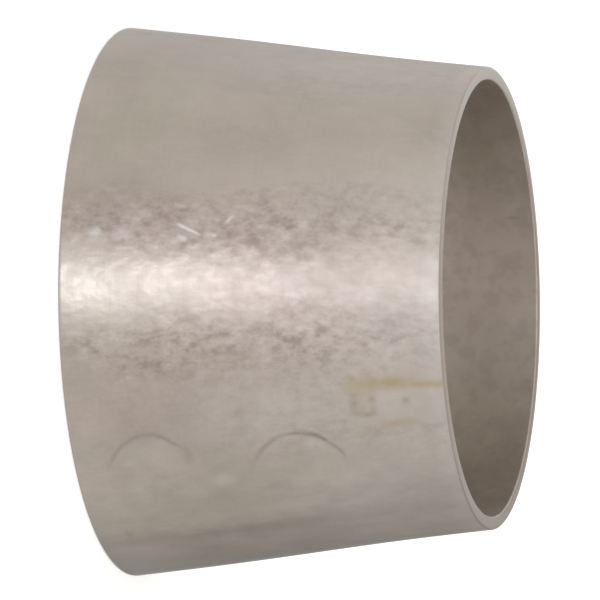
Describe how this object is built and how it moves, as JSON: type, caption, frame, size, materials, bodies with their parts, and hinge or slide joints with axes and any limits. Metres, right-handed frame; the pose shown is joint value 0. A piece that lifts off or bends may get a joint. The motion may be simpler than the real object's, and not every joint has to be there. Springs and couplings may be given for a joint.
{
  "type": "concentric tapered sleeve",
  "caption": "Thin-wall stainless steel tapered sleeve, open at both ends, that joins two tube sizes on one axis by butt welds.",
  "frame": {"origin": "centre of the large end's flat face, on which the sleeve stands", "axes": "+Z along the sleeve's axis, from the large end to the small end; X and Y are any two square directions across it, because the sleeve is round"},
  "size_m": [0.0762, 0.0762, 0.0508],
  "materials": {
    "pickled_stainless": "unpolished mill finish, pickled, with light handling marks"
  },
  "bodies": {
    "root": {"tapered_sleeve": "pickled_stainless"}
  },
  "joints": []
}
